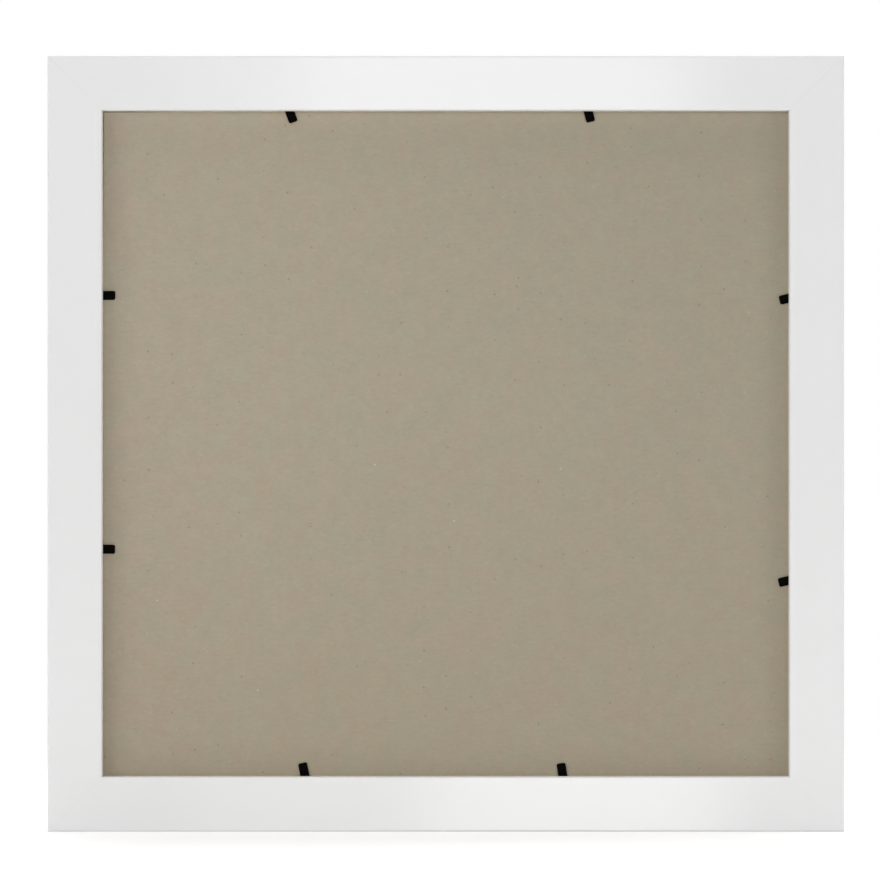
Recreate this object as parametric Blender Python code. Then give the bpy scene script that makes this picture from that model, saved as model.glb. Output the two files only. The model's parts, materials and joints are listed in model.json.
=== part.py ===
"""Frame for a vinyl record sleeve, standing upright with its back towards -Y.

Four mitred lengths of one rebated moulding are held together by V-nails sunk
into the corners. Glazing, a blank insert and a greyboard back lie in the rebate.
Eight flexible steel points, driven into the rebate wall, hold the board in, and
each can be bent up about a line at the wall. Metres, +Z up, +X to the right as
seen from behind. The origin is at the middle of the bottom edge.
"""

import math

import bmesh
import bpy
from mathutils import Matrix, Vector

# Sheets held by the frame
SHEET_WIDTH = 0.3272
SHEET_HEIGHT = 0.3171
GLAZING_THICKNESS = 0.0020
INSERT_THICKNESS = 0.0005
BOARD_THICKNESS = 0.0025

# Clearances
SEAT_GAP = 0.0003        # between pieces that touch
SIDE_PLAY = 0.0004       # from the sheets to the rebate wall, left and right
TOP_PLAY = 0.0006        # above the sheets, which stand on the bottom rail
MITRE_GAP = 0.0003       # glue line between two rails

# Moulding section
BACK_WIDTH = 0.0260      # from the outer edge to the rebate wall
LIP_WIDTH = 0.0070       # how far the face reaches over the rebate
LIP_THICKNESS = 0.0065
MOULDING_DEPTH = 0.0190
OUTER_BACK_RADIUS = 0.0010
OUTER_FRONT_RADIUS = 0.0020
WALL_EDGE_RADIUS = 0.0006
SIGHT_EDGE_RADIUS = 0.0016

# Facets of rounded edges, and the angle in degrees above which an edge is shaded sharp
ARC_STEPS = 4
NOSE_STEPS = 8
SHARP_ANGLE = 40

# V-nails across the mitres
NAIL_THICKNESS = 0.0005
NAIL_WING = 0.0050
NAIL_HEIGHT = 0.0100
NAIL_SINK = 0.0020       # below the back face, under the filler
NAIL_INSETS = {"outer": 0.0090, "inner": 0.0190}    # apex, from the outer edges
NAIL_LIP = 0.0008        # curled end of each wing

# Flexible points
POINT_LENGTH = 0.0150
POINT_WIDTH = 0.0043
POINT_THICKNESS = 0.0005
POINT_TAPER = 0.0035     # length of the pointed end in the wood
POINT_TIP_RADIUS = 0.0009

# Name, rail, place along the rail, lean in degrees, reach past the wall. The
# place is counted from the rail's middle, anticlockwise as seen from behind,
# and a negative lean turns the tip clockwise.
POINTS = (
    ("top_left", "top", 0.0747, -20.0, 0.0056),
    ("top_right", "top", -0.0681, -14.5, 0.0052),
    ("left_upper", "left", -0.0709, 0.0, 0.0059),
    ("left_lower", "left", 0.0504, 1.5, 0.0058),
    ("right_upper", "right", 0.0696, -14.0, 0.0045),
    ("right_lower", "right", -0.0654, -14.0, 0.0049),
    ("bottom_left", "bottom", -0.0673, -12.0, 0.0064),
    ("bottom_right", "bottom", 0.0560, -9.0, 0.0062),
)

# Derived sizes of the whole frame
REBATE_WIDTH = SHEET_WIDTH + 2 * SIDE_PLAY
REBATE_HEIGHT = SHEET_HEIGHT + SEAT_GAP + TOP_PLAY
OUTER_WIDTH = REBATE_WIDTH + 2 * BACK_WIDTH
OUTER_HEIGHT = REBATE_HEIGHT + 2 * BACK_WIDTH
FACE_WIDTH = BACK_WIDTH + LIP_WIDTH

# Depths, from the back face at -Y to the front face at +Y
BACK_Y = -MOULDING_DEPTH / 2
FRONT_Y = MOULDING_DEPTH / 2
SHELF_Y = FRONT_Y - LIP_THICKNESS
GLAZING_Y = SHELF_Y - SEAT_GAP - GLAZING_THICKNESS
INSERT_Y = GLAZING_Y - SEAT_GAP - INSERT_THICKNESS
BOARD_Y = INSERT_Y - SEAT_GAP - BOARD_THICKNESS
POINT_Y = BOARD_Y - SEAT_GAP - POINT_THICKNESS / 2

# Length, place of the outer edge's middle, and turn about Y of each rail. A rail
# is modelled lying along X with its outer edge down and its rebate up.
RAILS = {
    "bottom": (OUTER_WIDTH, (0, 0, 0), 0),
    "left": (OUTER_HEIGHT, (-OUTER_WIDTH / 2, 0, OUTER_HEIGHT / 2), 90),
    "top": (OUTER_WIDTH, (0, 0, OUTER_HEIGHT), 180),
    "right": (OUTER_HEIGHT, (OUTER_WIDTH / 2, 0, OUTER_HEIGHT / 2), 270),
}

# The corner at the +X end of each rail's own frame
CORNERS = {"bottom_right": "bottom", "bottom_left": "left", "top_left": "top", "top_right": "right"}


def remove_all_objects():
    for obj in list(bpy.data.objects):
        bpy.data.objects.remove(obj, do_unlink=True)


def make_material(name, colour, roughness, metallic=0.0, alpha=1.0):
    material = bpy.data.materials.new(name)
    material.use_nodes = True
    shader = material.node_tree.nodes["Principled BSDF"]
    shader.inputs["Base Color"].default_value = (*colour, 1.0)
    shader.inputs["Roughness"].default_value = roughness
    shader.inputs["Metallic"].default_value = metallic
    shader.inputs["Alpha"].default_value = alpha
    return material


def turn_about_y(degrees):
    return Matrix.Rotation(math.radians(degrees), 4, "Y")


def rail_matrix(rail):
    """Placement of a rail's own frame in the world."""
    _, place, turn = RAILS[rail]
    return Matrix.Translation(place) @ turn_about_y(turn)


def add_object(name, mesh, matrix, material=None, parent=None):
    obj = bpy.data.objects.new(name, mesh)
    bpy.context.collection.objects.link(obj)
    obj.parent = parent
    obj.matrix_world = matrix
    if material:
        mesh.materials.append(material)
    return obj


def rounded_outline(corners):
    """Points of a closed outline; corners is a list of (x, y, radius)."""
    outline = []
    count = len(corners)
    for index, (x, y, radius) in enumerate(corners):
        corner = Vector((x, y))
        if radius == 0:
            outline.append(corner)
            continue
        before = (Vector(corners[index - 1][:2]) - corner).normalized()
        after = (Vector(corners[(index + 1) % count][:2]) - corner).normalized()
        half_angle = before.angle(after) / 2
        centre = corner + (before + after).normalized() * (radius / math.sin(half_angle))
        start = corner + before * (radius / math.tan(half_angle)) - centre
        end = corner + after * (radius / math.tan(half_angle)) - centre
        sweep = start.angle_signed(end)
        for step in range(ARC_STEPS + 1):
            spoke = start.copy()
            spoke.rotate(Matrix.Rotation(-sweep * step / ARC_STEPS, 2))
            outline.append(centre + spoke)
    return outline


def mitred(point, before, after, distance):
    """A corner of a path moved so that both of its sides shift to the right."""
    first = (point - before).normalized()
    second = (after - point).normalized()
    first_normal = Vector((first.y, -first.x))
    bisector = (first_normal + Vector((second.y, -second.x))).normalized()
    return point + bisector * (distance / bisector.dot(first_normal))


def offset_outline(outline, distance):
    """An anticlockwise outline with every side moved outwards."""
    count = len(outline)
    return [
        mitred(point, outline[index - 1], outline[(index + 1) % count], distance)
        for index, point in enumerate(outline)
    ]


def strip_outline(centreline, half_thickness):
    """Anticlockwise outline of a bent strip with square ends."""
    first, second = centreline[:2]
    before_last, last = centreline[-2:]
    path = [2 * first - second, *centreline, 2 * last - before_last]
    corners = list(zip(path, path[1:], path[2:]))
    right = [mitred(point, before, after, half_thickness) for before, point, after in corners]
    left = [mitred(point, before, after, -half_thickness) for before, point, after in corners]
    return right + left[::-1]


def loft_mesh(name, loops):
    """Closed mesh through loops of equal length, with a flat cap at each end."""
    bm = bmesh.new()
    rings = [[bm.verts.new(point) for point in loop] for loop in loops]
    for ring, next_ring in zip(rings, rings[1:]):
        for index in range(len(ring)):
            following = (index + 1) % len(ring)
            bm.faces.new((ring[index], ring[following], next_ring[following], next_ring[index]))
    bm.faces.new(rings[0])
    bm.faces.new(rings[-1])
    bmesh.ops.recalc_face_normals(bm, faces=bm.faces)
    mesh = bpy.data.meshes.new(name)
    bm.to_mesh(mesh)
    bm.free()
    return mesh


def cut(target, cutter):
    boolean = target.modifiers.new(f"cut_{cutter.name}", "BOOLEAN")
    boolean.operation = "DIFFERENCE"
    boolean.solver = "EXACT"
    boolean.object = cutter


def add_cutter(name, mesh, matrix):
    cutter = add_object(name, mesh, matrix)
    cutter.hide_render = True
    cutter.display_type = "WIRE"
    return cutter


def moulding_section():
    """Section of the moulding as (distance in from the outer edge, depth)."""
    return rounded_outline([
        (0, BACK_Y, OUTER_BACK_RADIUS),
        (BACK_WIDTH, BACK_Y, WALL_EDGE_RADIUS),
        (BACK_WIDTH, SHELF_Y, 0),
        (FACE_WIDTH, SHELF_Y, 0),
        (FACE_WIDTH, FRONT_Y, SIGHT_EDGE_RADIUS),
        (0, FRONT_Y, OUTER_FRONT_RADIUS),
    ])


def build_rail(rail, material):
    """One length of moulding, mitred at both ends.

    The mitres run at 45 degrees, so an end comes in by as much as it goes up, and
    half of the gap between two mitres is cut square to them off each.
    """
    half_length = RAILS[rail][0] / 2 - MITRE_GAP / 2 * math.sqrt(2)
    section = moulding_section()
    ends = []
    for side in (-1, 1):
        ends.append([(side * (half_length - inset), depth, inset) for inset, depth in section])
    mesh = loft_mesh(f"rail_{rail}", ends)
    mesh.shade_smooth()
    mesh.set_sharp_from_angle(angle=math.radians(SHARP_ANGLE))
    return add_object(f"rail_{rail}", mesh, rail_matrix(rail), material)


def vee_outline():
    """Plan of a V-nail, with its apex at the origin and its wings open downwards.

    The wings stand at 45 degrees to the mitre line, and their ends curl outwards.
    """
    along = Vector((1, -1)).normalized()
    turn = along * (NAIL_WING - NAIL_LIP)
    end = turn + Vector((NAIL_LIP, 0))
    right_wing = [Vector((0, 0)), turn, end]
    left_wing = [Vector((-point.x, point.y)) for point in reversed(right_wing[1:])]
    return strip_outline(left_wing + right_wing, NAIL_THICKNESS / 2)


def upright_mesh(name, outline, low_y, high_y):
    """A plan of (x, z) points stood along Y between two depths."""
    return loft_mesh(name, [[(x, depth, z) for x, z in outline] for depth in (low_y, high_y)])


def build_corner_nails(rails, steel):
    """Two V-nails to a corner, each in a pocket cut from both of its rails."""
    low_y = BACK_Y + NAIL_SINK
    high_y = low_y + NAIL_HEIGHT
    plan = vee_outline()
    pocket_plan = offset_outline(plan, SEAT_GAP)
    order = list(RAILS)
    for corner, rail in CORNERS.items():
        neighbour = order[order.index(rail) - 1]
        for place, inset in NAIL_INSETS.items():
            name = f"{corner}_{place}"
            apex = Matrix.Translation((RAILS[rail][0] / 2 - inset, 0, inset))
            matrix = rail_matrix(rail) @ apex @ turn_about_y(-45)
            nail = upright_mesh(f"corner_nail_{name}", plan, low_y, high_y)
            add_object(f"corner_nail_{name}", nail, matrix, steel)
            pocket = upright_mesh(f"nail_pocket_{name}", pocket_plan, low_y - SEAT_GAP, high_y + SEAT_GAP)
            cutter = add_cutter(f"nail_pocket_{name}", pocket, matrix)
            cut(rails[rail], cutter)
            cut(rails[neighbour], cutter)


def build_sheet(name, back_y, thickness, material):
    """A flat sheet that stands on the bottom rail's rebate wall."""
    half_width = SHEET_WIDTH / 2
    loops = []
    for depth in (0, thickness):
        loops.append([
            (-half_width, depth, 0),
            (half_width, depth, 0),
            (half_width, depth, SHEET_HEIGHT),
            (-half_width, depth, SHEET_HEIGHT),
        ])
    place = Matrix.Translation((0, back_y, BACK_WIDTH + SEAT_GAP))
    return add_object(name, loft_mesh(name, loops), place, material)


def bend_offset(lean):
    """Distance of a point's bend line from the wall.

    It is just enough for the blade's near corner to clear the wall when the blade
    is bent square to the board.
    """
    angle = math.radians(abs(lean))
    return SEAT_GAP + POINT_WIDTH / 2 * math.sin(angle) + POINT_THICKNESS / 2 * math.cos(angle)


def blade_mesh(name, length):
    """The bent part of a point: a strip along +Z whose root is round about X."""
    half_thickness = POINT_THICKNESS / 2
    profile = []
    for step in range(NOSE_STEPS + 1):
        angle = math.pi * step / NOSE_STEPS
        profile.append((half_thickness * math.cos(angle), -half_thickness * math.sin(angle)))
    profile += [(-half_thickness, length), (half_thickness, length)]
    loops = [[(x, y, z) for y, z in profile] for x in (-POINT_WIDTH / 2, POINT_WIDTH / 2)]
    mesh = loft_mesh(name, loops)
    bm = bmesh.new()
    bm.from_mesh(mesh)
    tip_z = max(vert.co.z for vert in bm.verts)
    tip_corners = [
        edge for edge in bm.edges
        if edge.verts[0].co.z == edge.verts[1].co.z == tip_z
        and edge.verts[0].co.x == edge.verts[1].co.x
    ]
    bmesh.ops.bevel(bm, geom=tip_corners, offset=POINT_TIP_RADIUS, segments=ARC_STEPS,
                    profile=0.5, affect="EDGES")
    bm.to_mesh(mesh)
    bm.free()
    return mesh


def anchor_outline(top_z, end_z):
    """Plan of the driven part of a point: a strip with a pointed end."""
    half_width = POINT_WIDTH / 2
    return [
        Vector((half_width, top_z)),
        Vector((-half_width, top_z)),
        Vector((-half_width, end_z + POINT_TAPER)),
        Vector((0, end_z)),
        Vector((half_width, end_z + POINT_TAPER)),
    ]


def build_point(name, rail, along, lean, reach, rails, steel):
    """A flexible point: its anchor in a slot of the rail, and its blade at the bend."""
    offset = bend_offset(lean)
    wall_to_bend = offset / math.cos(math.radians(lean))
    bend = (along + offset * math.tan(math.radians(lean)), POINT_Y, BACK_WIDTH + offset)
    matrix = rail_matrix(rail) @ Matrix.Translation(bend) @ turn_about_y(lean)
    tip_z = reach - wall_to_bend
    end_z = tip_z - POINT_LENGTH
    plan = anchor_outline(-POINT_THICKNESS / 2 - SEAT_GAP, end_z)

    anchor = upright_mesh(f"point_anchor_{name}", plan, -POINT_THICKNESS / 2, POINT_THICKNESS / 2)
    add_object(f"point_anchor_{name}", anchor, matrix, steel)
    slot_y = POINT_THICKNESS / 2 + SEAT_GAP
    slot = upright_mesh(f"point_slot_{name}", offset_outline(plan, SEAT_GAP), -slot_y, slot_y)
    cut(rails[rail], add_cutter(f"point_slot_{name}", slot, matrix))

    hinge = add_object(f"bend_{name}", None, matrix)
    blade = blade_mesh(f"point_blade_{name}", tip_z)
    add_object(f"point_blade_{name}", blade, matrix, steel, parent=hinge)


def main():
    remove_all_objects()
    white_lacquer = make_material("white_lacquer", (0.76, 0.76, 0.76), 0.35)
    clear_sheet = make_material("clear_sheet", (0.92, 0.95, 0.95), 0.05, alpha=0.3)
    blank_paper = make_material("blank_paper", (0.85, 0.85, 0.83), 0.8)
    greyboard = make_material("greyboard", (0.36, 0.32, 0.24), 0.95)
    black_steel = make_material("black_steel", (0.012, 0.011, 0.011), 0.35, metallic=0.6)
    bright_steel = make_material("bright_steel", (0.55, 0.55, 0.55), 0.3, metallic=1.0)

    rails = {rail: build_rail(rail, white_lacquer) for rail in RAILS}
    build_corner_nails(rails, bright_steel)
    build_sheet("glazing", GLAZING_Y, GLAZING_THICKNESS, clear_sheet)
    build_sheet("insert_sheet", INSERT_Y, INSERT_THICKNESS, blank_paper)
    build_sheet("backing_board", BOARD_Y, BOARD_THICKNESS, greyboard)
    for point in POINTS:
        build_point(*point, rails, black_steel)


main()
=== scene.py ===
"""The looks of a white picture frame for a vinyl record sleeve, seen from behind.

The part gives the places and the main sizes. The rails, the board and the steel
points get finer meshes here, and every surface gets its finish. Metres, +Z up,
with the back of the frame towards -Y. Colours are linear.
"""

import json
import math

import bmesh
import bpy
from mathutils import Matrix, Vector, noise

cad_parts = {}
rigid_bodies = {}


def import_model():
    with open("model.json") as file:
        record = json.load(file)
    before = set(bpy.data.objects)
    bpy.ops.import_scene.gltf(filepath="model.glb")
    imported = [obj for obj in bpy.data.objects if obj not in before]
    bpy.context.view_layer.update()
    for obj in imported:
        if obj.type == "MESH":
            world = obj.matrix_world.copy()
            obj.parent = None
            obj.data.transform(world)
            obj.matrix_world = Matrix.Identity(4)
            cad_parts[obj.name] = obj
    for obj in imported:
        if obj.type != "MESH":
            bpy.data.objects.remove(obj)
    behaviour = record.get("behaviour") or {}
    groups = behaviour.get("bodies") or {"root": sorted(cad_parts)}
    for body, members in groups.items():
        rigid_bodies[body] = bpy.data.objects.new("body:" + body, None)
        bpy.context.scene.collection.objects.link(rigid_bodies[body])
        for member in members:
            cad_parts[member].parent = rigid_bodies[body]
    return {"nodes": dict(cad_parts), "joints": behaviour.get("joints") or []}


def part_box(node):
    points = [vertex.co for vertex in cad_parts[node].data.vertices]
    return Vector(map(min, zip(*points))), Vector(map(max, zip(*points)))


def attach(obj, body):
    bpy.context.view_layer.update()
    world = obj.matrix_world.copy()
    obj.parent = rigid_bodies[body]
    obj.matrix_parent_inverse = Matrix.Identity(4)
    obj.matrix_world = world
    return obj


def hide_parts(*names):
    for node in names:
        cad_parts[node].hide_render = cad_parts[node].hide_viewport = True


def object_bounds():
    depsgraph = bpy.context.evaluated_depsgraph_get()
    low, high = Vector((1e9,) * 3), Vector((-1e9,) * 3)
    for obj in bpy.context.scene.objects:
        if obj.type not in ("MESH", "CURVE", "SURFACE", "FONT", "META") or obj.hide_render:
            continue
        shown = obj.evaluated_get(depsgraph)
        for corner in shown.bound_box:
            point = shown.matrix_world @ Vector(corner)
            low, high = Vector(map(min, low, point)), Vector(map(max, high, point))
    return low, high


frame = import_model()
cad_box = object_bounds()

# Camera: the photograph's scale, and the frame's middle in it, in pixels
PHOTO_SIZE = 880
PIXELS_PER_METRE = 2097.3
FRAME_MIDDLE_PX = (445.8, 443.7)
CAMERA_DISTANCE = 1.9
SENSOR = 36.0

# Light levels, where 1 lights a surface as bright as its colour is written
WORLD_LEVEL = 0.298
SUNS = (                 # azimuth (0 from behind the camera), height and width in degrees, level
    ("camera_sun", -5, 7, 12, 0.172),
    ("left_sun", -38, 8, 14, 0.086),
    ("far_left_sun", -60, 9, 16, 0.133),
    ("right_sun", 55, 9, 16, 0.08),
    ("side_sun", 105, 15, 20, 0.25),
    ("front_sun", 188, 40, 40, 0.34),
    ("top_sun", 0, 90, 40, 0.44),
)
FILL_SIZE = (0.7, 0.05)
FILL_PLACE = (0, -0.21, 0.032)
FILL_RADIANCE = 0.27
FILL_SPREAD = 110

# Floor
FLOOR_RADIUS = 8.0
FLOOR_SIDES = 64
FLOOR_COLOUR = 0.92
FLOOR_ROUGHNESS = 0.9
FLOOR_LIFT = 0.245       # added for the camera, so that the lit floor shows white
FLOOR_FADE = (0.2, 0.6)  # from the middle of the frame's foot, where plain white begins and is full

# Panels of light mirrored by the lacquer: rail, sheen from and to along the rail, radiance
SHEENS = (
    ("top", -0.131, -0.074, 1.9),
    ("top", -0.074, 0.119, 4.1),
    ("bottom", -0.117, -0.010, 2.1),
    ("bottom", -0.010, 0.134, 4.8),
)
PANEL_HEIGHT = 0.25

# Rails
SEAT_GAP = 0.0003        # from the glazing to the shelf that it lies on
OUTER_BACK_RADIUS = 0.0010
OUTER_FRONT_RADIUS = 0.0020
WALL_EDGE_RADIUS = 0.0006
SIGHT_EDGE_RADIUS = 0.0016
ARC_STEPS = 8
MITRE_HAIRLINE = 0.00001
MITRE_EASING = 0.00003

# Lacquer, and the primer that shows in the rebate
LACQUER_TONES = (0.752, 0.764)
LACQUER_TONE_SIZE = 0.03
LACQUER_ROUGHNESS = (0.105, 0.12)
LACQUER_ROUGHNESS_SIZE = 0.008
PEEL_SIZE = 0.0022
PEEL_HEIGHT = 0.000002
PRIMER_COLOURS = ((0.90, 0.88, 0.85, 1.0), (0.94, 0.92, 0.89, 1.0))
PRIMER_SIZE = 0.002
PRIMER_ROUGHER = 0.8
PRIMER_FROM_WALL = (-0.0004, -0.0001)    # where it begins and is full, from the rebate wall
PRIMER_FROM_BACK = (0.0002, 0.0006)      # the same, in depth from the back face
PRIMER_PAST_SHELF = (0.0001, 0.0004)     # where it thins out and ends, in depth past the shelf

# Board
BOARD_CELL = 0.004
BOARD_EDGE_RADIUS = 0.00003
BOARD_RIM_ANGLE = 60
BOARD_GAP = 0.00001
BOARD_RELIEF = 0.00006
RELIEF_SIZE = 0.035
CORNER_GAP = 0.0004      # how far the top left corner was cut short
CORNER_GAP_TOP = 0.045
CORNER_GAP_SIDE = 0.067
CORNER_GAP_FADE = 0.02

# Greyboard: how its tone changes over the board, darker and browner towards the bottom, with painted
# light and shade as factors between two places
BOARD_ROUGHNESS = 0.93
BOARD_SPECULAR = 0.15
BOARD_COLOURS = ((0.374, 0.333, 0.253, 1.0), (0.354, 0.310, 0.232, 1.0))
BOARD_COLOURS_CHANGE = (0.23, 0.03)
# Painted light and shade: light falling off from the left across the board, darker towards two corners,
# and painted shade along all four rebate walls
BOARD_PAINTED_SHADE = (         # direction, two places along it, the factor at each, soft ends
    ("across", -0.12, 0.15, 1.033, 0.945, False),
    ("diagonal", 0.22, 0.48, 1.0, 0.96, False),
    ("diagonal", 0.05, -0.12, 1.0, 0.965, False),
    ("up", 0.31, 0.335, 1.0, 0.985, True),
    ("across", -0.150, -0.163, 1.0, 0.975, True),
    ("across", 0.145, 0.163, 1.0, 0.94, True),
    ("up", 0.044, 0.026, 1.0, 0.94, True),
)
WARM_EDGE = (-0.10, -0.16)
WARM_TINT = (0.995, 0.975, 0.985, 1.0)
MOTTLES = (              # size, redder tint, greener tint
    (0.013, (1.022, 0.990, 0.988, 1.0), (0.978, 1.008, 1.002, 1.0)),
    (0.004, (1.020, 0.991, 0.990, 1.0), (0.980, 1.007, 1.004, 1.0)),
    (0.0016, (1.016, 0.993, 0.992, 1.0), (0.984, 1.006, 1.007, 1.0)),
)

# Greyboard: its grain, fibres and specks, as changes of tone
PULP_SIZE = 0.0016
PULP_TONE = 0.02
FELT_SIZE = 0.0035
FELT_FLATNESS = 2.5
FELT_TONE = 0.022
CLOUD_SIZE = 0.006
CLOUD_TONE = 0.018
BEND_SIZE = 0.004
FIBRE_BEND = 0.0012
FIBRE_SPREAD = 1.0
LIGHT_FIBRES = (0.0046, 0.0033, 0.00060, 0.40, FIBRE_SPREAD)    # cell, length, width, share, spread
DARK_FIBRES = (0.0050, 0.0030, 0.00065, 0.40, FIBRE_SPREAD)
LIGHT_FLECKS = (0.0130, 0.0012, 0.0010, 0.14, math.pi)
DARK_FLECKS = (0.0110, 0.0015, 0.0012, 0.16, math.pi)
LIGHT_FIBRE_TONE = 0.065
DARK_FIBRE_TONE = -0.075
LIGHT_FLECK_TONE = 0.16
DARK_FLECK_TONE = -0.26
PALE_SPECKS = ((-0.090, 0.067), (0.004, 0.148), (0.055, 0.173), (-0.138, 0.110), (-0.034, 0.175))
DARK_SPECKS = ((-0.028, 0.200), (-0.123, 0.145), (0.097, 0.308), (-0.135, 0.304))
PALE_SPECK_TONE = 0.45
DARK_SPECK_TONE = -0.35
SPECK_EDGE = (0.00054, 0.00027)    # distances from its middle where a speck begins and is full
FIBRE_HEIGHT = 0.6       # beside the pulp's
BOARD_GRAIN_HEIGHT = 0.00004

# Points
POINT_WIDTH = 0.0043
POINT_THICKNESS = 0.0005
POINT_TIP_RADIUS = 0.0009
POINT_TAPER = 0.0035
POINT_EDGE_RADIUS = 0.0001
POINT_EDGE_STEPS = 2
MOST_ROUND = 0.9         # of half the thickness, where a strip is too thin for the full radius
POINT_PRESS = 0.00013    # how far a tip leans onto the board
ANCHOR_EASING = 0.00002
NOSE_ANGLES = (80, 60, 40, 20)
TIP_ANGLES = (20, 40, 60, 75)
BLADE_STEPS = 6

# Steel of the points and the nails
BLACK_COLOURS = ((0.0006, 0.0005, 0.0004, 1.0), (0.0018, 0.0014, 0.0012, 1.0))
BLACK_ROUGHNESS = (0.32, 0.45)
BLACK_SPECULAR = 0.02
ROLLED_SIZE = 0.0008
ROLLED_STRETCH = (6.0, 1.0, 1.0)
ROLLED_HEIGHT = 0.000004
NAIL_TONES = (0.48, 0.60)
NAIL_ROUGHNESS = (0.24, 0.36)
DRAWN_SIZE = 0.0010
DRAWN_STRETCH = (1.0, 12.0, 1.0)

# Insert and glazing
PAPER_COLOURS = ((0.800, 0.798, 0.780, 1.0), (0.835, 0.833, 0.818, 1.0))
PAPER_ROUGHNESS = 0.85
PAPER_SPECULAR = 0.3
PAPER_TONE_SIZE = 0.012
TOOTH_SIZE = 0.0005
TOOTH_HEIGHT = 0.00001
GLASS_COLOUR = (0.984, 0.988, 0.985, 1.0)
GLASS_SHADOW = (0.950, 0.957, 0.952, 1.0)
GLASS_IOR = 1.5
WAVE_SIZE = 0.06
WAVE_HEIGHT = 0.00002

NOISE_CORE = (0.3, 0.7)  # where nearly all of a noise's values lie
SMOOTH_ANGLE = 40


# Meshes

def rounded_outline(corners, steps=ARC_STEPS):
    """Points of a closed outline; corners is a list of (x, y, radius)."""
    outline = []
    count = len(corners)
    for index, (x, y, radius) in enumerate(corners):
        corner = Vector((x, y))
        if radius == 0:
            outline.append(corner)
            continue
        before = (Vector(corners[index - 1][:2]) - corner).normalized()
        after = (Vector(corners[(index + 1) % count][:2]) - corner).normalized()
        half_angle = before.angle(after) / 2
        centre = corner + (before + after).normalized() * (radius / math.sin(half_angle))
        start = corner + before * (radius / math.tan(half_angle)) - centre
        end = corner + after * (radius / math.tan(half_angle)) - centre
        sweep = start.angle_signed(end)
        for step in range(steps + 1):
            spoke = start.copy()
            spoke.rotate(Matrix.Rotation(-sweep * step / steps, 2))
            outline.append(centre + spoke)
    return outline


def shrunk_outline(outline, distance):
    """An anticlockwise outline with every side moved inwards."""
    shrunk = []
    count = len(outline)
    for index, point in enumerate(outline):
        first = (point - outline[index - 1]).normalized()
        second = (outline[(index + 1) % count] - point).normalized()
        first_normal = Vector((-first.y, first.x))
        bisector = (first_normal + Vector((-second.y, second.x))).normalized()
        shrunk.append(point + bisector * (distance / bisector.dot(first_normal)))
    return shrunk


def loft_mesh(name, loops):
    """Closed mesh through loops of equal length, with a flat cap at each end."""
    bm = bmesh.new()
    rings = [[bm.verts.new(point) for point in loop] for loop in loops]
    for ring, next_ring in zip(rings, rings[1:]):
        for index in range(len(ring)):
            following = (index + 1) % len(ring)
            bm.faces.new((ring[index], ring[following], next_ring[following], next_ring[index]))
    bm.faces.new(rings[0])
    bm.faces.new(rings[-1])
    bmesh.ops.recalc_face_normals(bm, faces=bm.faces)
    return finished_mesh(name, bm)


def finished_mesh(name, bm):
    """The mesh of a bmesh, which is freed."""
    mesh = bpy.data.meshes.new(name)
    bm.to_mesh(mesh)
    bm.free()
    return mesh


def put_in_order(bm):
    """Orders points, edges and faces by place; extruding leaves that of edges and faces to chance."""
    for items, place in (
        (bm.verts, lambda vert: vert.co[:]),
        (bm.edges, lambda edge: (edge.verts[0].co + edge.verts[1].co)[:]),
        (bm.faces, lambda face: face.calc_center_median()[:]),
    ):
        for index, item in enumerate(sorted(items, key=place)):
            item.index = index
        items.sort()


def add_object(name, data):
    new = bpy.data.objects.new(name, data)
    bpy.context.scene.collection.objects.link(new)
    return new


def add_piece(name, mesh, matrix, material, body, node):
    """A piece of the frame that stands for a node of the part."""
    mesh.materials.append(material)
    mesh.shade_smooth()
    mesh.set_sharp_from_angle(angle=math.radians(SMOOTH_ANGLE))
    piece = add_object(name, mesh)
    piece.matrix_world = matrix
    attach(piece, body)
    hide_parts(node)
    return piece


def keep_flats(piece):
    """Shades the wide faces flat and only the narrow rounded edges round."""
    weighted = piece.modifiers.new("keep_flats", "WEIGHTED_NORMAL")
    weighted.keep_sharp = True


def smoothstep(low, high, value):
    share = min(max((value - low) / (high - low), 0.0), 1.0)
    return share * share * (3 - 2 * share)


# Materials

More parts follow.
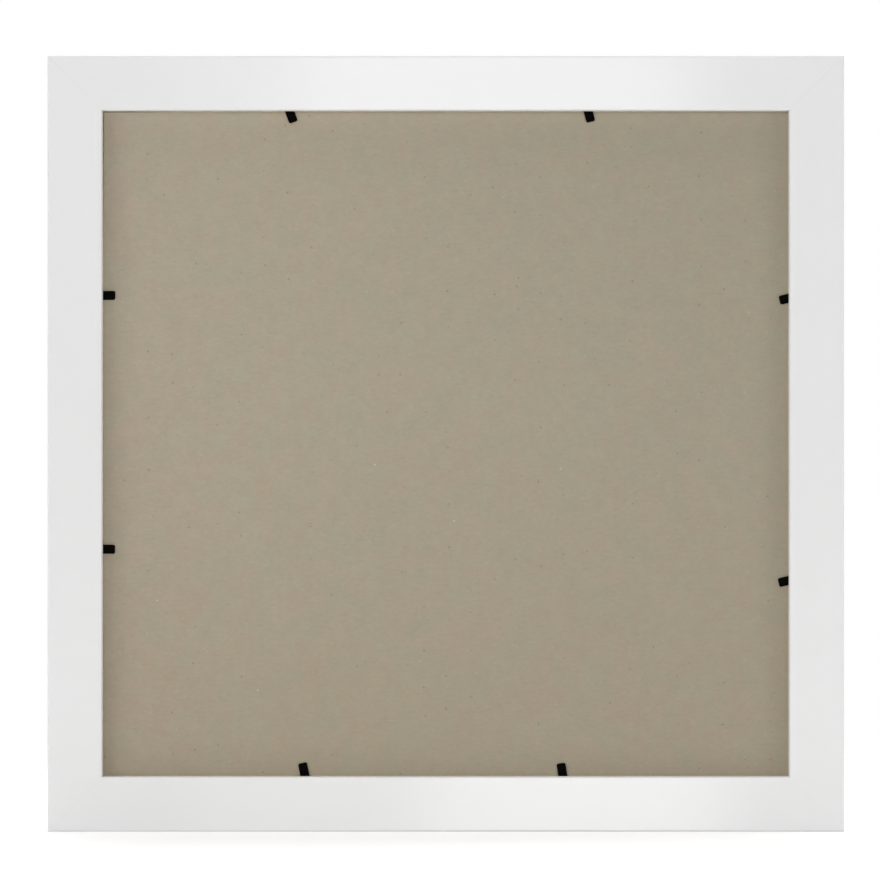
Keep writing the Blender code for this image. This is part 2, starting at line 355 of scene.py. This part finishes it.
class Finish:
    """One material with its nodes, and short calls that add to them."""

    def __init__(self, name, roughness, **plain):
        self.material = bpy.data.materials.new(name)
        self.material.use_nodes = True
        self.tree = self.material.node_tree
        self.shader = self.tree.nodes["Principled BSDF"]
        self.set("Roughness", roughness)
        for socket, value in plain.items():
            self.set(socket.replace("_", " "), value)

    def feed(self, socket, value):
        if isinstance(value, bpy.types.NodeSocket):
            self.tree.links.new(value, socket)
        else:
            socket.default_value = value

    def set(self, socket, value):
        self.feed(self.shader.inputs[socket], value)

    def surface(self, shader):
        self.tree.links.new(shader, self.tree.nodes["Material Output"].inputs["Surface"])

    def node(self, kind, *values, **settings):
        """A node whose first inputs take these numbers or sockets; None leaves one as it is."""
        node = self.tree.nodes.new(f"ShaderNode{kind}")
        for setting, value in settings.items():
            setattr(node, setting, value)
        for socket, value in zip(node.inputs, values):
            if value is not None:
                self.feed(socket, value)
        return node

    def math(self, operation, *values):
        return self.node("Math", *values, operation=operation).outputs[0]

    def vector(self, operation, *values):
        return self.node("VectorMath", *values, operation=operation).outputs["Vector"]

    def measure(self, operation, *values):
        return self.node("VectorMath", *values, operation=operation).outputs["Value"]

    def split(self, vector):
        return self.node("SeparateXYZ", vector).outputs

    def join(self, *values):
        return self.node("CombineXYZ", *values).outputs[0]

    def place(self):
        """Where a point lies on the piece, in the piece's own metres."""
        return self.node("TexCoord").outputs["Object"]

    def noise(self, vector, size, detail=2.0, roughness=0.5):
        """Soft noise from 0 to 1 whose blotches are about size across."""
        return self.node("TexNoise", vector, None, 1 / size, detail, roughness).outputs["Fac"]

    def stretch(self, vector, scale):
        return self.node("Mapping", vector, None, None, scale).outputs[0]

    def ramp(self, value, low, high, to_low=0.0, to_high=1.0, smooth=False):
        kind = "SMOOTHSTEP" if smooth else "LINEAR"
        ramp = self.node("MapRange", value, low, high, to_low, to_high, interpolation_type=kind)
        return ramp.outputs[0]

    def swing(self, noise, most):
        """A noise's values, spread from minus to plus the most."""
        return self.ramp(noise, *NOISE_CORE, -most, most)

    def mix(self, share, low, high):
        """The colour between two colours."""
        node = self.node("Mix", data_type="RGBA")
        for socket, value in zip((node.inputs[0], node.inputs[6], node.inputs[7]), (share, low, high)):
            self.feed(socket, value)
        return node.outputs[2]

    def scaled(self, colour, factor):
        """A colour with every channel times a factor."""
        node = self.node("VectorMath", colour, operation="SCALE")
        self.feed(node.inputs["Scale"], factor)
        return node.outputs[0]

    def bump(self, height, depth):
        """Relief of this height in metres where height is 1."""
        node = self.node("Bump")
        node.inputs["Distance"].default_value = depth
        self.feed(node.inputs["Height"], height)
        return node.outputs[0]


def grey(level):
    return (level, level, level, 1.0)


def rebate_mask(finish, place):
    """1 on the rebate's wall and shelf, in a rail's own coordinates, and 0 on its finished faces."""
    wall = rebate_wall_inset()
    back_y = cad_box[0].y
    shelf_y = shelf_depth()
    _, depth, inset = finish.split(place)
    past_edge = finish.ramp(inset, *(wall + step for step in PRIMER_FROM_WALL), smooth=True)
    below_back = finish.ramp(depth, *(back_y + step for step in PRIMER_FROM_BACK), smooth=True)
    above_lip = finish.ramp(depth, *(shelf_y + step for step in PRIMER_PAST_SHELF), 1.0, 0.0, smooth=True)
    return finish.math("MULTIPLY", finish.math("MULTIPLY", past_edge, below_back), above_lip)


def lacquer_finish():
    """White satin lacquer with a faint orange peel; the rebate has only a matt cream primer."""
    finish = Finish("white_lacquer", LACQUER_ROUGHNESS[0])
    place = finish.place()
    primed = rebate_mask(finish, place)
    tone = finish.noise(place, LACQUER_TONE_SIZE, 3.0)
    lacquer = finish.mix(tone, *(grey(level) for level in LACQUER_TONES))
    primer = finish.mix(finish.noise(place, PRIMER_SIZE, 3.0), *PRIMER_COLOURS)
    finish.set("Base Color", finish.mix(primed, lacquer, primer))
    cloud = finish.noise(place, LACQUER_ROUGHNESS_SIZE)
    satin = finish.ramp(cloud, *NOISE_CORE, *LACQUER_ROUGHNESS)
    finish.set("Roughness", finish.math("MULTIPLY_ADD", primed, PRIMER_ROUGHER, satin))
    finish.set("Normal", finish.bump(finish.noise(place, PEEL_SIZE, 1.0), PEEL_HEIGHT))
    return finish.material


def flecks(finish, place, cell, length, width, share, spread):
    """Mask of short strokes, at most one to a cell, each turned its own way within spread."""
    across, _, up = finish.split(finish.stretch(place, (1 / cell, 1 / cell, 1 / cell)))
    plane = finish.join(across, up)
    cells = finish.node("TexVoronoi", plane, voronoi_dimensions="2D", feature="F1")
    cells.inputs["Scale"].default_value = 1.0
    from_middle = finish.vector("SUBTRACT", plane, cells.outputs["Position"])
    chance, angle, size = finish.node("SeparateColor", cells.outputs["Color"]).outputs
    turned = finish.node("VectorRotate", from_middle, rotation_type="Z_AXIS")
    finish.feed(turned.inputs["Angle"], finish.math("MULTIPLY_ADD", angle, spread, -spread / 2))
    along, aside, _ = finish.split(turned.outputs[0])
    reach = finish.math("MULTIPLY", length / cell / 2, finish.ramp(size, 0, 1, 0.5, 1.0))
    ends = finish.math("DIVIDE", along, reach)
    sides = finish.math("DIVIDE", aside, width / cell / 2)
    away = finish.measure("LENGTH", finish.join(ends, sides))
    mask = finish.ramp(away, 1.0, 0.5, smooth=True)
    return finish.math("MULTIPLY", mask, finish.math("LESS_THAN", chance, share))


def board_colour(finish, place):
    """The greyboard's colour without its grain: darker and browner towards the bottom, with painted light
    falloff over the board and painted shade along the rebate walls, and mottled.
    """
    across, _, up = finish.split(place)
    ways = {"across": across, "up": up, "diagonal": finish.math("ADD", across, up)}
    colour = finish.mix(finish.ramp(up, *BOARD_COLOURS_CHANGE, smooth=True), *BOARD_COLOURS)
    # painted light falloff over the board and painted shade along the rebate walls
    for way, start, end, factor, end_factor, smooth in BOARD_PAINTED_SHADE:
        shade = finish.ramp(ways[way], start, end, factor, end_factor, smooth)
        colour = finish.scaled(colour, shade)
    warmer = finish.mix(finish.ramp(across, *WARM_EDGE), grey(1.0), WARM_TINT)
    colour = finish.vector("MULTIPLY", colour, warmer)
    for size, redder, greener in MOTTLES:
        tint = finish.mix(finish.ramp(finish.noise(place, size), *NOISE_CORE), redder, greener)
        colour = finish.vector("MULTIPLY", colour, tint)
    return colour


def single_specks(finish, place, grain):
    """The grain with the few specks that stand out, each at its own place."""
    across, _, up = finish.split(place)
    flat = finish.join(across, 0.0, up)
    for specks, tone in ((PALE_SPECKS, PALE_SPECK_TONE), (DARK_SPECKS, DARK_SPECK_TONE)):
        for x, z in specks:
            away = finish.measure("DISTANCE", flat, (x, 0.0, z))
            speck = finish.ramp(away, *SPECK_EDGE, smooth=True)
            grain = finish.math("MULTIPLY_ADD", speck, tone, grain)
    return grain


def board_finish():
    """Raw greyboard: mottled pulp, short fibres and specks."""
    finish = Finish("greyboard", BOARD_ROUGHNESS, Specular_IOR_Level=BOARD_SPECULAR)
    place = finish.place()
    pulp = finish.noise(place, PULP_SIZE, 3.0, 0.6)
    felt = finish.noise(finish.stretch(place, (1.0, 1.0, FELT_FLATNESS)), FELT_SIZE)
    cloud = finish.noise(place, CLOUD_SIZE, 1.0)
    grain = finish.math("ADD", finish.swing(pulp, PULP_TONE), finish.swing(felt, FELT_TONE))
    grain = finish.math("ADD", grain, finish.swing(cloud, CLOUD_TONE))

    wander = finish.node("TexNoise", place, None, 1 / BEND_SIZE, 1.0).outputs["Color"]
    bend = finish.scaled(finish.vector("ADD", wander, (-0.5, -0.5, -0.5)), FIBRE_BEND)
    bent = finish.vector("ADD", place, bend)
    light_fibres = flecks(finish, bent, *LIGHT_FIBRES)
    for mask, tone in (
        (light_fibres, LIGHT_FIBRE_TONE),
        (flecks(finish, bent, *DARK_FIBRES), DARK_FIBRE_TONE),
        (flecks(finish, place, *LIGHT_FLECKS), LIGHT_FLECK_TONE),
        (flecks(finish, place, *DARK_FLECKS), DARK_FLECK_TONE),
    ):
        grain = finish.math("MULTIPLY_ADD", mask, tone, grain)
    grain = single_specks(finish, place, grain)
    finish.set("Base Color", finish.scaled(board_colour(finish, place), finish.math("ADD", grain, 1.0)))

    height = finish.math("MULTIPLY_ADD", light_fibres, FIBRE_HEIGHT, finish.math("ADD", pulp, felt))
    finish.set("Normal", finish.bump(height, BOARD_GRAIN_HEIGHT))
    return finish.material


def steel_finish():
    """Black coating on spring steel: fine rolling marks and a little gloss."""
    finish = Finish("black_coated_steel", BLACK_ROUGHNESS[0], Specular_IOR_Level=BLACK_SPECULAR)
    rolled = finish.noise(finish.stretch(finish.place(), ROLLED_STRETCH), ROLLED_SIZE)
    finish.set("Base Color", finish.mix(rolled, *BLACK_COLOURS))
    finish.set("Roughness", finish.ramp(rolled, *NOISE_CORE, *BLACK_ROUGHNESS))
    finish.set("Normal", finish.bump(rolled, ROLLED_HEIGHT))
    return finish.material


def nail_finish():
    """Bare steel strip with drawn lines."""
    finish = Finish("bare_steel", NAIL_ROUGHNESS[0], Metallic=1.0)
    drawn = finish.noise(finish.stretch(finish.place(), DRAWN_STRETCH), DRAWN_SIZE, 3.0)
    finish.set("Base Color", finish.mix(drawn, *(grey(level) for level in NAIL_TONES)))
    finish.set("Roughness", finish.ramp(drawn, *NOISE_CORE, *NAIL_ROUGHNESS))
    return finish.material


def paper_finish():
    """Blank off-white sheet with a soft tooth."""
    finish = Finish("blank_paper", PAPER_ROUGHNESS, Specular_IOR_Level=PAPER_SPECULAR)
    place = finish.place()
    finish.set("Base Color", finish.mix(finish.noise(place, PAPER_TONE_SIZE), *PAPER_COLOURS))
    finish.set("Normal", finish.bump(finish.noise(place, TOOTH_SIZE), TOOTH_HEIGHT))
    return finish.material


def glass_finish():
    """Clear picture glass, barely wavy, that lets lamps through."""
    finish = Finish("clear_glass", 0.0, Transmission_Weight=1.0, IOR=GLASS_IOR)
    finish.set("Base Color", GLASS_COLOUR)
    finish.set("Normal", finish.bump(finish.noise(finish.place(), WAVE_SIZE, 1.0), WAVE_HEIGHT))
    clear = finish.node("BsdfTransparent", GLASS_SHADOW)
    lamp_ray = finish.node("LightPath").outputs["Is Shadow Ray"]
    pane = finish.node("MixShader", lamp_ray, finish.shader.outputs[0], clear.outputs[0])
    finish.surface(pane.outputs[0])
    return finish.material


# Rails

def shelf_depth():
    """Depth of the shelf behind the lip that the glazing lies on."""
    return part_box("glazing")[1].y + SEAT_GAP


def rebate_wall_inset():
    """Distance from the outer edge to the rebate wall, read from the part's bottom rail."""
    rail = frame["nodes"]["rail_bottom"].data
    above_shelf = shelf_depth() - SEAT_GAP
    return max(vert.co.z for vert in rail.vertices if vert.co.y < above_shelf) - cad_box[0].z


def moulding_section():
    """Section of the moulding as (distance in from the outer edge, depth)."""
    low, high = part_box("rail_bottom")
    wall = rebate_wall_inset()
    shelf_y = shelf_depth()
    return rounded_outline([
        (0, low.y, OUTER_BACK_RADIUS),
        (wall, low.y, WALL_EDGE_RADIUS),
        (wall, shelf_y, 0),
        (high.z, shelf_y, 0),
        (high.z, high.y, SIGHT_EDGE_RADIUS),
        (0, high.y, OUTER_FRONT_RADIUS),
    ])


def build_rails(material):
    """Four mitred lengths of moulding, each modelled along X with its outer edge down."""
    low, high = cad_box
    middle_x = (low.x + high.x) / 2
    middle_z = (low.z + high.z) / 2
    width = high.x - low.x
    height = high.z - low.z
    rails = {
        "bottom": (width, (middle_x, 0, low.z), 0),
        "left": (height, (low.x, 0, middle_z), 90),
        "top": (width, (middle_x, 0, high.z), 180),
        "right": (height, (high.x, 0, middle_z), 270),
    }
    section = moulding_section()
    eased = shrunk_outline(section, MITRE_EASING)
    for side, (length, place, turn) in rails.items():
        end = length / 2 - MITRE_HAIRLINE / 2 * math.sqrt(2)
        inner = end - MITRE_EASING * math.sqrt(2)
        stations = ((-1, end, eased), (-1, inner, section), (1, inner, section), (1, end, eased))
        loops = [
            [(sign * (reach - inset), depth, inset) for inset, depth in outline]
            for sign, reach, outline in stations
        ]
        matrix = Matrix.Translation(place) @ Matrix.Rotation(math.radians(turn), 4, "Y")
        mesh = loft_mesh(f"white_rail_{side}", loops)
        rail = add_piece(
            f"white_rail_{side}", mesh, matrix, material, "frame", f"rail_{side}")
        keep_flats(rail)


# Board

def board_corners():
    """The board's lowest and highest corners, close up to the walls of the rebate."""
    low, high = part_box("backing_board")
    wall = rebate_wall_inset()
    low.x = cad_box[0].x + wall + BOARD_GAP
    high.x = cad_box[1].x - wall - BOARD_GAP
    low.z = cad_box[0].z + wall + BOARD_GAP
    high.z = cad_box[1].z - wall - BOARD_GAP
    return low, high


def board_slab(low, high):
    """A closed slab whose back and front are grids of small faces, with soft edges."""
    columns = round((high.x - low.x) / BOARD_CELL)
    rows = round((high.z - low.z) / BOARD_CELL)
    bm = bmesh.new()
    grid = [
        [
            bm.verts.new((
                low.x + (high.x - low.x) * column / columns,
                low.y,
                low.z + (high.z - low.z) * row / rows,
            ))
            for column in range(columns + 1)
        ]
        for row in range(rows + 1)
    ]
    for lower, upper in zip(grid, grid[1:]):
        for column in range(columns):
            bm.faces.new((lower[column], lower[column + 1], upper[column + 1], upper[column]))
    extruded = bmesh.ops.extrude_face_region(bm, geom=bm.faces[:])
    for item in extruded["geom"]:
        if isinstance(item, bmesh.types.BMVert):
            item.co.y = high.y
    bmesh.ops.recalc_face_normals(bm, faces=bm.faces)
    sharp = math.radians(BOARD_RIM_ANGLE)
    rim = [edge for edge in bm.edges if edge.is_manifold and edge.calc_face_angle() > sharp]
    bmesh.ops.bevel(bm, geom=rim, offset=BOARD_EDGE_RADIUS, segments=2, profile=0.5, affect="EDGES")
    put_in_order(bm)
    return bm


def build_board(material):
    """A slab of greyboard with soft edges, a slight relief and one corner cut short."""
    low, high = board_corners()
    bm = board_slab(low, high)
    for vert in bm.verts:
        x, y, z = vert.co
        rise = noise.noise(Vector((x, 0, z)) / RELIEF_SIZE)
        back_share = (high.y - y) / (high.y - low.y)
        vert.co.y -= BOARD_RELIEF * rise * back_share
        near_left = smoothstep(low.x + CORNER_GAP_FADE, low.x, x)
        near_top = smoothstep(high.z - CORNER_GAP_FADE, high.z, z)
        vert.co.x += CORNER_GAP * near_left * smoothstep(high.z - CORNER_GAP_SIDE, high.z, z)
        vert.co.z -= CORNER_GAP * near_top * smoothstep(low.x + CORNER_GAP_TOP, low.x, x)
    mesh = finished_mesh("greyboard_back", bm)
    board = add_piece(
        "greyboard_back", mesh, Matrix.Identity(4), material, "frame", "backing_board")
    keep_flats(board)


# Points

def strip_mesh(name, stations):
    """A thin strip along Z; stations are (z, half width, half thickness, offset in depth)."""
    loops = []
    for z, half_width, half_thickness, offset in stations:
        radius = min(POINT_EDGE_RADIUS, half_thickness * MOST_ROUND)
        corners = [
            (side * half_width, face * half_thickness, radius)
            for side, face in ((-1, -1), (1, -1), (1, 1), (-1, 1))
        ]
        outline = rounded_outline(corners, POINT_EDGE_STEPS)
        loops.append([(x, y + offset, z) for x, y in outline])
    return loft_mesh(name, loops)


def nose_stations(half_width, half_thickness):
    """Half of the bend's round knuckle, from its crown to the bend line."""
    stations = []
    for degrees in NOSE_ANGLES:
        angle = math.radians(degrees)
        z = -half_thickness * math.sin(angle)
        stations.append((z, half_width, half_thickness * math.cos(angle), 0))
    return stations


def blade_stations(length):
    """The visible tab: a round root, a flat run that leans onto the board and a round tip."""
    half_width = POINT_WIDTH / 2
    half_thickness = POINT_THICKNESS / 2
    straight = length - POINT_TIP_RADIUS
    stations = nose_stations(half_width, half_thickness)
    for step in range(BLADE_STEPS + 1):
        z = straight * step / BLADE_STEPS
        stations.append((z, half_width, half_thickness, POINT_PRESS * smoothstep(0, length, z)))
    for degrees in TIP_ANGLES:
        angle = math.radians(degrees)
        z = straight + POINT_TIP_RADIUS * math.sin(angle)
        narrower = POINT_TIP_RADIUS * (1 - math.cos(angle))
        lean = POINT_PRESS * smoothstep(0, length, z)
        stations.append((z, half_width - narrower, half_thickness, lean))
    thin = half_thickness - POINT_EDGE_RADIUS
    stations.append((length, half_width - POINT_TIP_RADIUS, thin, POINT_PRESS))
    return stations


def anchor_stations(depth):
    """The driven part: a round knuckle at the bend line and a pointed end in the wood."""
    half_width = POINT_WIDTH / 2 - ANCHOR_EASING
    half_thickness = POINT_THICKNESS / 2 - ANCHOR_EASING
    stations = nose_stations(half_width, half_thickness)
    stations.append((0, half_width, half_thickness, 0))
    stations.append((depth - POINT_TAPER, half_width, half_thickness, 0))
    stations.append((depth, POINT_EDGE_RADIUS * 2, half_thickness, 0))
    return stations


def reach_along(node, start, direction):
    """The least and the greatest distance of a node's points from start, along a direction."""
    distances = [(vert.co - start).dot(direction) for vert in frame["nodes"][node].data.vertices]
    return min(distances), max(distances)


def build_points(material):
    """Eight points, each an anchor on the frame and a blade that bends about its joint."""
    for joint in frame["joints"]:
        name = joint["name"].removeprefix("bend_")
        bend = Vector(joint["pos_m"])
        axis = Vector(joint["axis"]).normalized()
        depth = Vector((0, 1, 0))
        inwards = axis.cross(depth)
        turn = Matrix((axis, depth, inwards)).transposed().to_4x4()
        _, blade_length = reach_along(f"point_blade_{name}", bend, inwards)
        anchor_end, _ = reach_along(f"point_anchor_{name}", bend, inwards)
        blade = strip_mesh(f"steel_tab_{name}", blade_stations(blade_length))
        add_piece(
            f"steel_tab_{name}", blade, Matrix.Translation(bend) @ turn, material,
            joint["child"], f"point_blade_{name}")
        anchor = strip_mesh(f"steel_root_{name}", anchor_stations(-anchor_end))
        away = Matrix.Rotation(math.pi, 4, "Y")
        add_piece(
            f"steel_root_{name}", anchor, Matrix.Translation(bend) @ turn @ away, material,
            joint["parent"], f"point_anchor_{name}")


def dress_node(node, material):
    """Gives a node of the part its finish, with its shape as it is."""
    frame["nodes"][node].material_slots[0].material = material


# Floor, lights and camera

def background_rays(tree):
    """1 for the rays that look at the background, and 0 for those that light the object."""
    path = tree.nodes.new("ShaderNodeLightPath")
    seen = path.outputs["Is Camera Ray"]
    for output in ("Is Glossy Ray", "Is Transmission Ray"):
        either = tree.nodes.new("ShaderNodeMath")
        either.operation = "MAXIMUM"
        tree.links.new(seen, either.inputs[0])
        tree.links.new(path.outputs[output], either.inputs[1])
        seen = either.outputs[0]
    return seen


def build_world():
    """White where it is looked at, and a plain level of light from all round."""
    world = bpy.data.worlds.new("white_room")
    bpy.context.scene.world = world
    world.use_nodes = True
    tree = world.node_tree
    background = tree.nodes["Background"]
    background.inputs["Color"].default_value = grey(1.0)
    level = tree.nodes.new("ShaderNodeMapRange")
    tree.links.new(background_rays(tree), level.inputs["Value"])
    level.inputs["To Min"].default_value = WORLD_LEVEL
    level.inputs["To Max"].default_value = 1.0
    tree.links.new(level.outputs[0], background.inputs["Strength"])


def build_floor():
    """A plain white floor that keeps the shadow near the frame and fades to white further off."""
    finish = Finish("white_floor", FLOOR_ROUGHNESS, Specular_IOR_Level=0.0)
    finish.set("Base Color", grey(FLOOR_COLOUR))
    near = finish.shader.outputs[0]
    lift = finish.node("Emission", grey(1.0), FLOOR_LIFT).outputs[0]
    lifted = finish.node("AddShader", near, lift).outputs[0]
    white = finish.node("Emission", grey(1.0), 1.0).outputs[0]
    far = finish.ramp(finish.measure("LENGTH", finish.place()), *FLOOR_FADE, smooth=True)
    shown = finish.node("MixShader", far, lifted, white).outputs[0]
    finish.surface(finish.node("MixShader", background_rays(finish.tree), near, shown).outputs[0])

    bm = bmesh.new()
    bmesh.ops.create_circle(bm, cap_ends=True, segments=FLOOR_SIDES, radius=FLOOR_RADIUS)
    mesh = finished_mesh("floor", bm)
    mesh.materials.append(finish.material)
    floor = add_object("floor", mesh)
    floor.visible_glossy = False


def add_sun(name, azimuth, height, width, level):
    """A broad soft light, as strong as level on a surface that faces it."""
    light = bpy.data.lights.new(name, "SUN")
    light.energy = level * math.pi
    light.angle = math.radians(width)
    sun = add_object(name, light)
    turn = math.radians(azimuth)
    tilt = math.radians(height)
    sun.location = (math.sin(turn) * math.cos(tilt), -math.cos(turn) * math.cos(tilt), math.sin(tilt))
    sun.rotation_euler = sun.location.to_track_quat("Z", "Y").to_euler()
    sun.visible_glossy = False


def add_fill():
    """A low strip of light that lifts the lower rail, as if the floor lit it."""
    light = bpy.data.lights.new("low_fill", "AREA")
    light.shape = "RECTANGLE"
    light.size, light.size_y = FILL_SIZE
    light.energy = FILL_RADIANCE * math.pi * FILL_SIZE[0] * FILL_SIZE[1]
    light.spread = math.radians(FILL_SPREAD)
    fill = add_object("low_fill", light)
    fill.location = FILL_PLACE
    fill.rotation_euler = (math.radians(90), 0, 0)
    fill.visible_camera = False
    fill.visible_glossy = False


def camera_place():
    """Straight behind the frame, where its middle falls on its place in the photograph."""
    low, high = cad_box
    middle = (low + high) / 2
    right = (FRAME_MIDDLE_PX[0] - PHOTO_SIZE / 2) / PIXELS_PER_METRE
    down = (FRAME_MIDDLE_PX[1] - PHOTO_SIZE / 2) / PIXELS_PER_METRE
    return Vector((middle.x - right, low.y - CAMERA_DISTANCE, middle.z + down))


def build_camera():
    data = bpy.data.cameras.new("camera")
    data.sensor_width = SENSOR
    data.lens = SENSOR * CAMERA_DISTANCE * PIXELS_PER_METRE / PHOTO_SIZE
    camera = add_object("camera", data)
    camera.location = camera_place()
    camera.rotation_euler = (math.radians(90), 0, 0)
    bpy.context.scene.camera = camera


def glow_material(name, radiance):
    """Light that reaches a surface only as its mirror image."""
    material = bpy.data.materials.new(name)
    material.use_nodes = True
    tree = material.node_tree
    tree.nodes.remove(tree.nodes["Principled BSDF"])
    glow = tree.nodes.new("ShaderNodeEmission")
    glow.inputs["Strength"].default_value = radiance
    tree.links.new(glow.outputs[0], tree.nodes["Material Output"].inputs["Surface"])
    material.cycles.emission_sampling = "NONE"
    return material


def build_sheen_panels():
    """Panels beside the camera, above and below it, that only the lacquer mirrors.

    Light from a panel in the camera's plane reaches the camera by way of a point
    halfway between them.
    """
    eye = camera_place()
    low, high = cad_box
    wall = rebate_wall_inset()
    middles = {"top": high.z - wall / 2, "bottom": low.z + wall / 2}
    for index, (rail, start, end, radiance) in enumerate(SHEENS):
        bm = bmesh.new()
        middle_z = 2 * middles[rail] - eye.z
        corners = [
            (2 * x - eye.x, eye.y, middle_z + up * PANEL_HEIGHT / 2)
            for x, up in ((start, -1), (end, -1), (end, 1), (start, 1))
        ]
        bm.faces.new([bm.verts.new(corner) for corner in corners])
        mesh = finished_mesh(f"sheen_panel_{index}", bm)
        mesh.materials.append(glow_material(f"glow_{index}", radiance))
        panel = add_object(f"sheen_panel_{index}", mesh)
        panel.visible_camera = False
        panel.visible_diffuse = False
        panel.visible_transmission = False
        panel.visible_shadow = False


build_rails(lacquer_finish())
build_board(board_finish())
build_points(steel_finish())
dress_node("glazing", glass_finish())
dress_node("insert_sheet", paper_finish())
bare_steel = nail_finish()
for node_name in frame["nodes"]:
    if node_name.startswith("corner_nail_"):
        dress_node(node_name, bare_steel)

build_world()
build_floor()
for sun in SUNS:
    add_sun(*sun)
add_fill()
build_sheen_panels()
build_camera()
bpy.context.scene.view_settings.view_transform = "Standard"
